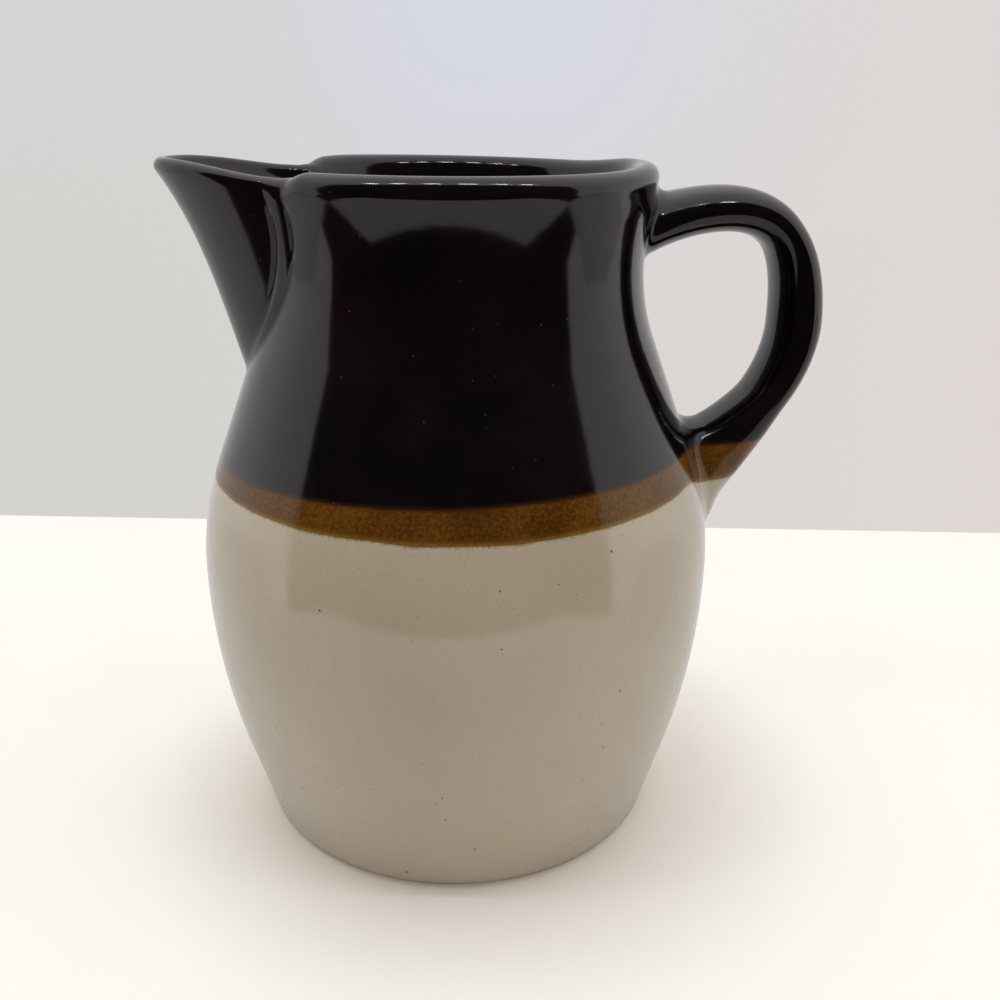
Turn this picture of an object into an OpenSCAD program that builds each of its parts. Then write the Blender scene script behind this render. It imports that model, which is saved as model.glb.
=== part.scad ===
// Stoneware pitcher: a thrown body, a spout let into the neck and a pulled handle luted on,
// dipped in cream, brown and dark glazes and lined with a dark one.
// Millimetres. Z is the axis of the body and the table is Z = 0.
// The spout points along -X and the handle along +X.

/* [Body] */
// Height of the clay rim above the table
body_h = 199.5; // [170:0.5:240]
// Radius of the body at the foot
foot_r = 59; // [45:0.5:75]
// Radius of the body at its widest
belly_r = 77.3; // [65:0.1:95]
// From the rim down to the widest part
belly_drop = 115.5; // [100:0.5:135]
// Radius of the neck at its narrowest
neck_r = 54.2; // [45:0.1:65]
// From the rim down to the narrowest part of the neck
neck_drop = 26.5; // [20:0.5:35]
// Radius of the hollow curve of the neck
neck_curve = 62; // [45:1:75]
// Softness of the shoulder: the share of the way from belly to neck that is curved, 1 for no straight
shoulder_soft = 0.817; // [0.75:0.001:1]
// Thickness of the wall, rounded over at the rim
wall = 7; // [4:0.1:9]
// Thickness of the floor
floor_t = 9; // [6:0.5:14]
// Radius of the curve between the floor and the wall, inside
floor_curve = 14; // [6:1:30]
// Width of the ring the pitcher stands on
foot_w = 10; // [5:0.5:20]
// Depth of the hollow under the foot
foot_hollow = 2; // [1:0.1:4]
// Bevel round the edges of the foot
foot_bevel = 1.2; // [0.5:0.1:3]

/* [Spout] */
// From the rim down to where the front of the spout leaves the body
spout_drop = 57.5; // [45:0.5:70]
// Rise of the lip above the rim at the tip
spout_rise = 1.3; // [0:0.1:8]
// Dip of the lip below the rim where it meets the neck
spout_dip = 1.7; // [0.5:0.1:5]
// Reach of the tip past the narrowest part of the neck
spout_reach = 29.8; // [22:0.1:40]
// How far the nose leans out for each millimetre of height, low down
spout_lean = 0.27; // [0.1:0.01:0.5]
// Half width of the spout low down
spout_half_low = 22.5; // [14:0.5:34]
// Half width of the spout at the lip
spout_half_top = 37.5; // [24:0.5:48]
// Pinch of the nose, 0 for a round one
spout_pinch = 0.3; // [0:0.05:0.6]
// Thickness of the wall of the spout, rounded over at the lip
spout_wall = 6; // [4:0.1:8]

/* [Handle] */
// From the rim down to the middle of the handle inside the wall of the neck
handle_root_drop = 18.5; // [14:0.5:26]
// From the rim down to where the curve over the top is pulled up to
handle_crown_drop = 7.2; // [0:0.1:14]
// Reach of the outside of the handle past the widest part of the body
handle_reach = 35.4; // [26:0.1:50]
// From the rim down to the outermost point of the handle
handle_out_drop = 44.2; // [34:0.1:56]
// From the rim down to the end of the tail, inside the belly
handle_tail_drop = 97.9; // [85:0.1:115]
// Thickness of the handle over the top
handle_t_top = 12.3; // [9:0.1:18]
// Thickness of the handle at the side
handle_t_side = 15; // [10:0.1:22]
// Height of the spread tail where it is pressed on to the belly
handle_t_tail = 46; // [25:1:60]
// Width of the handle across the fingers
handle_w = 23; // [16:0.5:32]
// How much thicker and wider the handle spreads at the neck
handle_spread = 7; // [2:0.5:14]

/* [Glaze] */
// Thickness of the glaze
glaze_t = 0.5; // [0.3:0.1:1]
// Bare clay left above the table
glaze_foot = 1.5; // [1.3:0.1:8]
// From the rim down to the lower edge of the dark glaze
dark_drop = 78.5; // [65:0.1:90]
// Width of the brown band under the dark glaze
band_w = 7.7; // [4:0.1:14]

/* [Hidden] */
$fn = 72;
above = body_h + 20;
far = 400;
// Heights above the table.
belly_z = body_h - belly_drop;
neck_z = body_h - neck_drop;
spout_low = body_h - spout_drop;
spout_tip_z = body_h + spout_rise;
spout_seam_z = body_h - spout_dip;
handle_root_z = body_h - handle_root_drop;
handle_crown_z = body_h - handle_crown_drop;
handle_out_z = body_h - handle_out_drop;
handle_tail_z = body_h - handle_tail_drop;
band_high = body_h - dark_drop;
band_low = band_high - band_w;
// The belly is one arc from the foot to the widest part.
belly_out = belly_r - foot_r;
belly_curve = (belly_out * belly_out + belly_z * belly_z) / (2 * belly_out);
belly_c = [belly_r - belly_curve, belly_z];
// The shoulder arc, a cone and the hollow arc of the neck run tangent from the belly to the neck.
shoulder_rise = neck_z - belly_z;
shoulder_step = belly_r - neck_r;
curves = shoulder_soft * (pow(shoulder_rise, 2) + pow(shoulder_step, 2)) / (2 * shoulder_step);
shoulder_curve = curves - neck_curve;
shoulder_c = [belly_r - shoulder_curve, belly_z];
neck_c = [neck_r + neck_curve, neck_z];
between_c = neck_c - shoulder_c;
shoulder_a = atan2(between_c[1], between_c[0]) - acos(curves / norm(between_c));
sin_a = sin(shoulder_a);
cos_a = cos(shoulder_a);
cone_low = shoulder_c + shoulder_curve * [cos_a, sin_a];
// The rim is a half round as thick as the wall, tangent to the flare of the neck.
rim_r = wall / 2;
flare_a = asin((body_h - rim_r - neck_z) / (neck_curve + rim_r));
rim_c = neck_c + (neck_curve + rim_r) * [-cos(flare_a), sin(flare_a)];
// The curve inside, tangent to the floor and to the inside of the belly.
corner_in = belly_curve - wall - floor_curve;
corner_z = floor_t + floor_curve;
corner_c = [belly_c[0] + sqrt(pow(corner_in, 2) - pow(corner_z - belly_z, 2)), corner_z];
corner_a = atan2(corner_c[1] - belly_z, corner_c[0] - belly_c[0]);
// The plan of the spout is centred inside the neck and its sides run in through the wall.
spout_c = neck_r - 14;
spout_back = neck_r - 27;
spout_base = spout_low - 22;
spout_h = spout_tip_z - spout_low;
spout_flare = neck_r + spout_reach - body_at(spout_low) - spout_lean * spout_h;
lip_r = spout_wall / 2;
// The middle line of the handle is two curves that meet at the outermost point.
handle_x = belly_r + handle_reach - handle_t_side / 2 - 1.3;
tail_x = body_at(handle_tail_z) - 12;
handle_upper = [[neck_r - 4, handle_root_z], [neck_r + 26, handle_crown_z],
    [handle_x, handle_crown_z], [handle_x, handle_out_z]];
handle_lower = [[handle_x, handle_out_z], [handle_x, handle_out_z - 23.6],
    [tail_x + 20, handle_tail_z + 13.3], [tail_x, handle_tail_z]];
// Thickness and width along the handle, from 0 at the neck to 1 at the end of the tail.
handle_thick = [[0, handle_t_top + handle_spread], [0.05, handle_t_top + handle_spread * 0.35],
    [0.1, handle_t_top + 0.3], [0.2, handle_t_top], [0.35, handle_t_top - 1.8], [0.5, handle_t_side],
    [0.7, handle_t_side], [0.8, handle_t_side + 4.8], [0.9, handle_t_side + 12.5], [1, handle_t_tail]];
handle_wide = [[0, handle_w + handle_spread], [0.05, handle_w + handle_spread * 0.35], [0.1, handle_w + 0.3],
    [0.2, handle_w], [0.75, handle_w], [0.85, handle_w + 1], [0.95, handle_w + 5], [1, handle_w + 6]];

// Points of an arc about c with radius r, in n steps from angle a to angle b.
function arc(c, r, a, b, n) = [for (i = [0:n]) c + r * [cos(a + (b - a) * i / n), sin(a + (b - a) * i / n)]];
function flip(p) = [for (i = [len(p) - 1:-1:0]) p[i]];
// Radius of the clay body at height z.
function body_at(z) =
    z < belly_z ? belly_c[0] + sqrt(pow(belly_curve, 2) - pow(z - belly_z, 2))
    : z < cone_low[1] ? shoulder_c[0] + sqrt(pow(shoulder_curve, 2) - pow(z - belly_z, 2))
    : z < neck_z - neck_curve * sin_a ? cone_low[0] - (z - cone_low[1]) * sin_a / cos_a
    : neck_c[0] - sqrt(pow(neck_curve, 2) - pow(z - neck_z, 2));
// Side of the body set off by o, from angle a on the belly up to the rim.
function side(o, a) = concat(
    arc(belly_c, belly_curve + o, a, 0, 14),
    arc(shoulder_c, shoulder_curve + o, shoulder_a / 6, shoulder_a, 5),
    arc(neck_c, neck_curve - o, 180 + shoulder_a, 180 - flare_a, 10));
// Outer face set off by o, from the foot to the crest of the rim.
function outer_face(o) = concat(
    side(o, asin((foot_bevel - belly_z) / (belly_curve + o))),
    arc(rim_c, rim_r + o, 15 - flare_a, 90, 6));
// Inner face drawn in by o, from the crest of the rim to the middle of the floor.
function inner_face(o) = concat(
    arc(rim_c, rim_r + o, 100, 165 - flare_a, 4),
    flip(side(-wall - o, corner_a)),
    arc(corner_c, floor_curve - o, corner_a - 10, -90, 5),
    [[0, floor_t + o]]);

// Everything within the outer face set off by o.
module outside(o = 0) rotate_extrude() polygon(concat([[0, 0], [foot_r - foot_bevel, 0]], outer_face(o),
    [[0, body_h + o]]));
// Everything within the inner face of the clay, open at the top.
module inside() rotate_extrude() polygon(concat([[0, above], [rim_c[0], above], [rim_c[0], body_h]],
    inner_face(0)));
// Everything between two heights.
module between(low, high) translate([-far / 2, -far / 2, low]) cube([far, far, high - low]);

// Reach of the nose and half width of the spout at height z.
function nose(z) = body_at(spout_low) + spout_lean * (z - spout_low)
    + spout_flare * pow(max(z - spout_low, 0) / spout_h, 4);
function half(z) = spout_half_low + (spout_half_top - spout_half_low) * (z - spout_low) / spout_h;
// Angles round the plan of the spout; the first and last stand for the sides running in.
spout_turns = [for (i = [-9:9]) i * 11.25];
spout_rows = 8;
function lip_z(t) = spout_seam_z + (spout_tip_z - spout_seam_z) * cos(min(abs(t), 90)) - lip_r;
// Point on the spout's plan at angle t for height z, set off by o and drawn at height h.
function spout_at(t, z, o, h) = let (a = nose(z) + o - spout_c, b = half(z) + o, s = sign(t))
    abs(t) > 90 ? [-spout_back, s * b * (1 + spout_pinch * (spout_c - spout_back) / a), h]
    : [-spout_c - a * cos(t), b * sin(t) * (1 - spout_pinch * cos(t)), h];
// Points up one face of the spout at angle t, set off by o, from the base to the lip.
function spout_face(t, o) = [for (i = [0:spout_rows])
    let (z = spout_base + (lip_z(t) - spout_base) * i / spout_rows) spout_at(t, z, o, z)];
// Once round the wall of the spout at angle t: up the outside, over the lip and down the inside.
function spout_loop(t, o) = concat(
    spout_face(t, o),
    [for (k = [1:5]) spout_at(t, lip_z(t), (lip_r + o) * cos(k * 30) - lip_r,
        lip_z(t) + (lip_r + o) * sin(k * 30))],
    flip(spout_face(t, -spout_wall - o)));
// A solid skinned over loops of points, closed flat across the first and the last.
module skin(loops) {
    m = len(loops[0]);
    n = len(loops);
    sides = [for (i = [0:n - 2], j = [0:m - 1]) let (k = (j + 1) % m)
        each [[i * m + j, i * m + k, (i + 1) * m + k], [i * m + j, (i + 1) * m + k, (i + 1) * m + j]]];
    cap = [for (j = [0:floor((m - 1) / 2) - 1]) let (k = m - 1 - j)
        each j + 1 < k - 1 ? [[j, j + 1, k - 1], [j, k - 1, k]] : [[j, j + 1, k]]];
    first = [for (f = cap) flip(f)];
    last = [for (f = cap) [for (j = f) (n - 1) * m + j]];
    polyhedron([for (p = loops) each p], concat(sides, first, last));
}
// The wall of the spout set off by o.
module spout_wall_solid(o) skin([for (t = flip(spout_turns)) spout_loop(t, o)]);
// Everything within one face of the spout, set off by o, and up past the lip.
module spout_core(o) skin([for (i = [0:spout_rows + 1]) [for (t = spout_turns) let (p = spout_face(t, o))
    i <= spout_rows ? p[i] : [p[spout_rows][0], p[spout_rows][1], above]]]);

// Point and direction at t along one of the handle's curves.
function bezier(p, t) = pow(1 - t, 3) * p[0] + 3 * t * pow(1 - t, 2) * p[1] + 3 * t * t * (1 - t) * p[2]
    + pow(t, 3) * p[3];
function heading(p, t) = let (d = bezier(p, t + 0.01) - bezier(p, t - 0.01)) d / norm(d);
// Section of the handle at s, grown by o: an oval across the middle line.
function handle_ring(s, o) = let (
    p = s < 0.5 ? handle_upper : handle_lower,
    t = s < 0.5 ? s * 2 : s * 2 - 1,
    c = bezier(p, t),
    d = heading(p, t),
    thick = lookup(s, handle_thick) / 2 + o,
    wide = lookup(s, handle_wide) / 2 + o)
    [for (a = [0:18:342]) let (u = thick * cos(a), v = wide * sign(sin(a)) * pow(abs(sin(a)), 0.85))
        [c[0] - d[1] * u, v, c[1] + d[0] * u]];
module handle_bar(o) skin([for (i = [0:24]) handle_ring(i / 24, o)]);
// Glaze on the body and the handle between two heights.
module dip(low, high) difference() {
    intersection() {
        union() {
            outside(glaze_t);
            handle_bar(glaze_t);
        }
        between(low, high);
    }
    outside();
    handle_bar(0);
}

// The thrown clay: foot, floor, belly and neck, cut away where the spout is let in.
module body() color("wheat") difference() {
    rotate_extrude() polygon(concat(
        [[0, foot_hollow], [foot_r - foot_w - foot_bevel, foot_hollow], [foot_r - foot_w, 0],
            [foot_r - foot_bevel, 0]],
        outer_face(0), inner_face(0)));
    spout_core(0);
}
// The spout, let into the neck with its edges luted to the cut wall.
module spout() color("wheat") difference() {
    spout_wall_solid(0);
    inside();
}
// The pulled handle, luted to the neck and the belly.
module handle() color("wheat") difference() {
    handle_bar(0);
    outside();
}
module cream_glaze() color("antiquewhite") dip(glaze_foot, band_low);
module brown_band() color("saddlebrown") dip(band_low, band_high);
module dark_glaze() color("#2a1a14") difference() {
    dip(band_high, above);
    inside();
    spout_core(glaze_t);
}
// The dark glaze on both faces of the spout and over its lip.
module spout_glaze() color("#2a1a14") difference() {
    skin([for (t = flip(spout_turns)) concat(spout_loop(t, glaze_t), flip(spout_loop(t, 0)))]);
    difference() {
        outside();
        spout_core(-lip_r);
    }
    inside();
}
module liner_glaze() color("#2a1a14") difference() {
    rotate_extrude() polygon(concat([[rim_c[0], body_h]], inner_face(0), flip(inner_face(glaze_t)),
        [[rim_c[0], body_h + glaze_t]]));
    spout_core(-spout_wall);
}

body();
spout();
handle();
cream_glaze();
brown_band();
dark_glaze();
spout_glaze();
liner_glaze();
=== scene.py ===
"""The looks of a stoneware pitcher: dipped glazes, bare clay at the foot, and the light it stands in."""

import math

import bmesh
import bpy
import numpy as np
from mathutils import Matrix, Vector


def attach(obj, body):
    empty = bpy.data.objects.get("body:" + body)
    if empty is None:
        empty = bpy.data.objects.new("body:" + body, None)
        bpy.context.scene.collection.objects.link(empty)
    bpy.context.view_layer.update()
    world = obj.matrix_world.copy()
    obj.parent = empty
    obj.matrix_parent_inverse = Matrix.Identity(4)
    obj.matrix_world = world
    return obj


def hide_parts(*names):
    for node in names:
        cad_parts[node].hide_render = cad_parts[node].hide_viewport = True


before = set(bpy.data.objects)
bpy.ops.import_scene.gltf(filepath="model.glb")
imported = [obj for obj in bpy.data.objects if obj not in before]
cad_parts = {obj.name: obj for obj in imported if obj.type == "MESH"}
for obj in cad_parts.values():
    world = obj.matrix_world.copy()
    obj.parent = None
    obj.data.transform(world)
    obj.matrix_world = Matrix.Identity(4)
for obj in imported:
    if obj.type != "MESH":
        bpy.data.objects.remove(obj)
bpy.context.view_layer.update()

# Sizes in millimetres. The spout points along -X and the handle along +X, and angles round the pitcher are in
# degrees from the spout. Body, floor and glaze are as in the part's source.
MM = 0.001
BODY_H = 199.5
FOOT_R = 59.0
BELLY_R = 77.3
BELLY_Z = 84.0
NECK_R = 54.2
NECK_Z = 173.0
NECK_CURVE = 62.0
SHOULDER_SOFT = 0.817
WALL = 7.0
FLOOR_T = 9.0
FLOOR_CURVE = 14.0
FOOT_W = 10.0
FOOT_HOLLOW = 2.0
GLAZE_T = 0.5
GLAZE_FOOT = 1.5

# The wall steps in at the edge of the foot, and low down it stands a little wider than its arc. Close to both
# edges of the foot ring runs one more row of points.
FOOT_BEVEL = 1.0
FOOT_UNDERCUT = 2.2
FOOT_EASE = 2.1
FOOT_EASE_H = 25.0
RING_EDGE = 2.0

# The spout, as in the source but for how far its sides run in behind the neck and its outline goes on down.
SPOUT_LOW = 142.0
SPOUT_TIP_Z = 200.8
SPOUT_REACH = 84.0
SPOUT_LEAN = 0.27
SPOUT_HALF_LOW = 22.5
SPOUT_HALF_TOP = 37.5
SPOUT_PINCH = 0.3
SPOUT_WALL = 6.0
SPOUT_C = NECK_R - 14
SPOUT_RUN_IN = 22.0
SPOUT_TOE = 30.0

# Height of the seam between spout and neck at angles from the spout, and half the angle of the cut there.
SEAM_AT = ([0, 15, 20, 25, 29.5, 33, 37], [143, 151, 155.5, 162, 169, 176, 183])
SPOUT_CUT = math.radians(34)
CUT_RISE = 0.2

# Along the seam runs a narrow strip of clay pressed into the valley, slightly crowned, with a tooled line
# along each edge. Line width is a share of the strip's half width. Pairs of heights say where the strip fills
# up, where each line starts, and where both end under the lip.
SEAM_FILL = 0.85
SEAM_LEAST = 0.02
SEAM_FILL_Z = (SPOUT_LOW - 1, SPOUT_LOW + 14)
SEAM_CROWN = 0.12
SEAM_EDGE = 0.3
SEAM_SOFT = 2.2
SEAM_LINE_DEEP = 0.5
SEAM_LINE_WIDE = 0.2
SPOUT_LINE_Z = (SPOUT_LOW + 14, SPOUT_LOW + 30)
NECK_LINE_Z = (NECK_Z + 3, NECK_Z + 10)
LINES_END_Z = (NECK_Z + 20, NECK_Z + 14)

# The handle, fitted to the photograph more closely than in the source. The tables give its thickness and its
# width at places from 0 at the neck to 1 at the end of the tail.
HANDLE_X = 103.7
HANDLE_ROOT_Z = 181.5
HANDLE_CROWN_Z = 192.4
HANDLE_OUT_Z = 154.9
HANDLE_TAIL_Z = 101.6
HANDLE_THICK = ([0, .05, .1, .2, .35, .5, .7, .8, .9, .94, 1],
                [16.5, 13.9, 12.8, 12.2, 11.4, 14.2, 12.2, 17.4, 25, 34.5, 41])
HANDLE_WIDE = ([0, .05, .1, .2, .75, .85, .95, 1], [30, 25.45, 23.3, 23, 23, 24, 28, 29])
HANDLE_SQUARE = 0.85
HANDLE_RINGS = 140
HANDLE_SIDES = 72

# How far the clay is worked in at the ends of the handle: on the outer side of its curve, the two flanks and
# the side of the finger hole. The fillet's edge is sunk into the body.
ROOT_FILLET = (6.0, 2.2, 2.2)
TAIL_FILLET = (1.2, 4.5, 7.3)
FILLET_PULL = 0.72
FILLET_ROWS = 10
SUNK = 1.5

# The dip lines: height on the axis, rise for each millimetre toward the handle, and half of how much higher
# the line runs at the spout and the handle than at the two sides.
LINE_LOW = (113.05, 0.0033, 0.5)
LINE_HIGH = (120.65, 0.0184, -0.6)

# How far the lines sag by the handle, over the same angle, and under the spout, each over its own. A drip
# hangs from the lower one. Both are uneven by waves round the pitcher, given by number, phase and size.
SAG_LOW = 7.4
SAG_HIGH = 3.8
SAG_WIDE = 18.8
SAG_POWER = 3
SPOUT_SAG_LOW = (0.8, 18)
SPOUT_SAG_HIGH = (1.5, 22)
DRIP = 0.35
DRIP_AT = -79
DRIP_WIDE = 4
UNEVEN_LOW = 0.1
UNEVEN_HIGH = 0.06
WAVES = ((5, 1.3, 1.0), (9, 0.4, 0.8), (17, 2.2, 0.5), (31, 0.7, 0.4), (53, 1.9, 0.25))

# On the handle's tail the two lines climb by so much for each millimetre out from the body.
TAIL_RISE_LOW = 0.08
TAIL_RISE_HIGH = 0.08

# Height of the glazed lip at the tip of the spout, and at the lowest place by its seams. Pairs of angles say
# where it falls from the tip and where it becomes level.
LIP_TIP_Z = 202.0
LIP_SEAM_Z = 198.2
LIP_FALL_AT = (8, 37)
LIP_LEVEL_AT = (35.5, 46)

# By the handle the rim is drawn in and up, and on the far side it tilts down toward the handle.
RIM_PULL = 1.7
RIM_PULL_AT = (115, 150)
RIM_PULL_Z = (NECK_Z + 15, NECK_Z + 25)
RIM_LIFT = 0.8
RIM_LIFT_AT = (140, 172)
RIM_TILT = 0.87
RIM_TILT_EVEN = 0.15
FAR_SIDE_FROM = (36, 55)
FAR_SIDE_TO = (170, 135)

# Half the thickness of the lip, where its rounding is measured, and how far down the wall thickens and the
# dark glaze reaches inside.
LIP_NECK = WALL / 2 + GLAZE_T
LIP_SPOUT = 2.3
LIP_START_Z = NECK_Z + 20
LIP_RUN = 16.0
LIP_INSIDE = 14.0

# Depth of the glaze's shell, its room over the clay low down and in the neck, and its round lower edge.
COAT = 0.42
UNDER = 0.15
UNDER_NECK = 0.6
EDGE_H = 1.2
EDGE_T = 0.05

# Columns and rows of the skin. The columns crowd together by the seams of the spout, and the rows of the
# cream toward the foot. Inside, the rows of the thrown wall start just over the lower dip line.
SKIN_COLUMNS = 480
CROWD = 4.5
CROWD_AT = 27
CROWD_WIDE = 17
CREAM_ROWS = 48
CREAM_CROWD = 1.15
BAND_ROWS = 6
DARK_ROWS = 72
LIP_ROWS = 16
INSIDE_ROWS = 36
CORNER_ROWS = 13
FLOOR_ROWS = 12
INSIDE_Z = LINE_LOW[0] + 2

# The clay under the skin: where its upper wall starts and how many rows and columns it has, the radius of the
# smallest ring on its floor and foot, and the angle at which its edges and those of the glaze are sharp.
CLAY_WALL_Z = LINE_LOW[0] + 4
CLAY_FOOT_ROWS = 8
CLAY_LOW_ROWS = 40
CLAY_HIGH_ROWS = 44
CLAY_SPOUT_ROWS = 24
CLAY_SPOUT_COLUMNS = 69
HUB = 1.0
SHARP = math.radians(55)

# How often a stretch is halved to find a place on it, and over how many steps the handle's tables are eased.
HALVINGS = 40
EASE = 35

# The arcs of the body, from the foot over the belly and the shoulder to the neck.
belly_out = BELLY_R - FOOT_R
BELLY_CURVE = (belly_out ** 2 + BELLY_Z ** 2) / (2 * belly_out)
shoulder_rise = NECK_Z - BELLY_Z
shoulder_step = BELLY_R - NECK_R
curves = SHOULDER_SOFT * (shoulder_rise ** 2 + shoulder_step ** 2) / (2 * shoulder_step)
SHOULDER_CURVE = curves - NECK_CURVE
SHOULDER_A = (math.atan2(shoulder_rise, curves - shoulder_step)
              - math.acos(curves / math.hypot(shoulder_rise, curves - shoulder_step)))


def body_radius(z, off=0.0):
    """Radius of the body at height z, on its outer face set off by so much."""
    z = np.asarray(z, float)
    up = z - BELLY_Z
    sin_a, cos_a = math.sin(SHOULDER_A), math.cos(SHOULDER_A)
    shoulder_r = SHOULDER_CURVE + off
    neck_r = NECK_CURVE - off
    cone_z = BELLY_Z + shoulder_r * sin_a
    belly = BELLY_R - BELLY_CURVE + np.sqrt(np.maximum((BELLY_CURVE + off) ** 2 - up ** 2, 0))
    belly = belly + FOOT_EASE * np.maximum(1 - z / FOOT_EASE_H, 0) ** 2
    shoulder = BELLY_R - SHOULDER_CURVE + np.sqrt(np.maximum(shoulder_r ** 2 - up ** 2, 0))
    cone = BELLY_R - SHOULDER_CURVE + shoulder_r * cos_a - (z - cone_z) * sin_a / cos_a
    neck = NECK_R + NECK_CURVE - np.sqrt(np.maximum(neck_r ** 2 - (z - NECK_Z) ** 2, 0))
    return np.select([z < BELLY_Z, z < cone_z, z < NECK_Z - neck_r * sin_a], [belly, shoulder, cone], neck)


SPOUT_H = SPOUT_TIP_Z - SPOUT_LOW
SPOUT_ROOT = float(body_radius(SPOUT_LOW))
SPOUT_FLARE = SPOUT_REACH - SPOUT_ROOT - SPOUT_LEAN * SPOUT_H


def spout_plan(share, z, off):
    """Reach and half width of the spout's outline at height z. Share 0 is the nose, 1 the side and 2 well
    inside the neck."""
    up = np.maximum(z - SPOUT_LOW, -SPOUT_TOE)
    nose = SPOUT_ROOT + SPOUT_LEAN * up + SPOUT_FLARE * (np.maximum(up, 0) / SPOUT_H) ** 4
    long = nose + off - SPOUT_C
    half = SPOUT_HALF_LOW + (SPOUT_HALF_TOP - SPOUT_HALF_LOW) * up / SPOUT_H + off
    turn = np.minimum(share, 1) * math.pi / 2
    run_in = np.maximum(share - 1, 0) * SPOUT_RUN_IN
    reach = SPOUT_C + long * np.cos(turn) - run_in
    width = half * (np.sin(turn) * (1 - SPOUT_PINCH * np.cos(turn)) + SPOUT_PINCH * run_in / long)
    return reach, width


def spout_share(turn, z, off):
    """Place along the spout's outline that lies at this angle from the spout's own direction."""
    low = np.zeros(np.broadcast(turn, z).shape)
    high = low + 2
    for _ in range(HALVINGS):
        middle = (low + high) / 2
        reach, width = spout_plan(middle, z, off)
        before = np.arctan2(width, reach) < np.abs(turn)
        low = np.where(before, middle, low)
        high = np.where(before, high, middle)
    return low


def smooth_step(low, high, x):
    t = np.clip((np.asarray(x, float) - low) / (high - low), 0, 1)
    return t * t * (3 - 2 * t)


def smooth_max(a, b, soft):
    """The larger of two, with the change from one to the other rounded."""
    mix = np.clip(0.5 + 0.5 * (b - a) / soft, 0, 1)
    return a * (1 - mix) + b * mix + soft * mix * (1 - mix)


def drawn_radius(turn, z, off):
    """Radius of the body with its rim drawn in by the handle."""
    by_handle = smooth_step(*RIM_PULL_AT, np.degrees(np.abs(turn)))
    return body_radius(z, off) - RIM_PULL * by_handle * smooth_step(*RIM_PULL_Z, z)


def skin_radius(turn, z, off):
    """Radius of body and spout together, and the share of the spout in it, from 0 to 1."""
    body = drawn_radius(turn, z, off)
    reach, width = spout_plan(spout_share(turn, z, off), z, off)
    spout = np.hypot(reach, width)
    fill = SEAM_LEAST + SEAM_FILL * smooth_step(*SEAM_FILL_Z, z)
    across = (spout - body) / (2 * fill)
    strip = (body + spout) / 2 + fill * (1 + SEAM_CROWN * (1 - np.clip(across, -1, 1) ** 2))
    skin = smooth_max(smooth_max(body, spout, SEAM_EDGE), strip, SEAM_EDGE)
    spout_line = np.exp(-((across - 1) / SEAM_LINE_WIDE) ** 2) * smooth_step(*SPOUT_LINE_Z, z)
    neck_line = np.exp(-((across + 1) / SEAM_LINE_WIDE) ** 2) * smooth_step(*NECK_LINE_Z, z)
    lines = (spout_line + neck_line) * smooth_step(*LINES_END_Z, z)
    return skin - SEAM_LINE_DEEP * lines, np.clip(0.5 + 0.5 * (spout - body) / SEAM_SOFT, 0, 1)


def wobble(turn, size):
    """The small unevenness of a line dipped by hand."""
    return size * sum(a * np.sin(n * turn + p) for n, p, a in WAVES)


def dip_line(turn, line):
    """Height of a dip line round the pitcher; turn is the angle from the spout."""
    height, tilt, sides = line
    x = -np.cos(turn) * body_radius(height)
    return height + tilt * x + sides * np.cos(2 * turn)


def bell(x, width_degrees, power=2):
    return np.exp(-(np.abs(x) / math.radians(width_degrees)) ** power)


def sag(turn, by_handle, under_spout):
    """How far a line ran down by the handle and, over its own angle, under the spout."""
    depth, width = under_spout
    return by_handle * bell(math.pi - np.abs(turn), SAG_WIDE, SAG_POWER) + depth * bell(turn, width)


def line_low(turn):
    """Lower edge of the band."""
    drip = DRIP * bell(turn - math.radians(DRIP_AT), DRIP_WIDE)
    return dip_line(turn, LINE_LOW) + wobble(turn, UNEVEN_LOW) - drip - sag(turn, SAG_LOW, SPOUT_SAG_LOW)


def line_high(turn):
    """Upper edge of the band, with an unevenness of its own."""
    return dip_line(turn, LINE_HIGH) + wobble(turn + 2, UNEVEN_HIGH) - sag(turn, SAG_HIGH, SPOUT_SAG_HIGH)


def lip_height(turn):
    """Height of the glazed rim: level round the neck but for its unevenness, dipping at the seams and rising
    to the tip of the spout."""
    degrees = np.degrees(turn)
    off = np.abs(degrees)
    spout = LIP_TIP_Z + (LIP_SEAM_Z - LIP_TIP_Z) * smooth_step(*LIP_FALL_AT, off)
    far_side = smooth_step(*FAR_SIDE_FROM, degrees) * smooth_step(*FAR_SIDE_TO, degrees)
    uneven = RIM_LIFT * smooth_step(*RIM_LIFT_AT, off) + RIM_TILT * (np.cos(turn) + RIM_TILT_EVEN) * far_side
    return spout + (BODY_H + GLAZE_T - spout) * smooth_step(*LIP_LEVEL_AT, off) + uneven


def skin_turns():
    """Angles of the columns of the skin, closest together along the seams of the spout."""
    even = np.linspace(-math.pi, math.pi, 4001)
    crowd = 1 + CROWD * np.exp(-((np.degrees(np.abs(even)) - CROWD_AT) / CROWD_WIDE) ** 6)
    total = np.concatenate([[0], np.cumsum((crowd[1:] + crowd[:-1]) / 2)])
    return np.interp(np.arange(SKIN_COLUMNS) / SKIN_COLUMNS, total / total[-1], even)


def on_skin(turn, radius, z):
    return np.stack([-radius * np.cos(turn), radius * np.sin(turn), z + 0 * radius], axis=-1)


def grid_normals(rows, closed=True):
    """Unit normals of a grid of points, whose columns may close round, outward where the rows climb."""
    up = np.gradient(rows, axis=0)
    along = np.roll(rows, -1, axis=1) - np.roll(rows, 1, axis=1) if closed else np.gradient(rows, axis=1)
    n = np.cross(up, along)
    return n / np.maximum(np.linalg.norm(n, axis=-1, keepdims=True), 1e-9)


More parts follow.
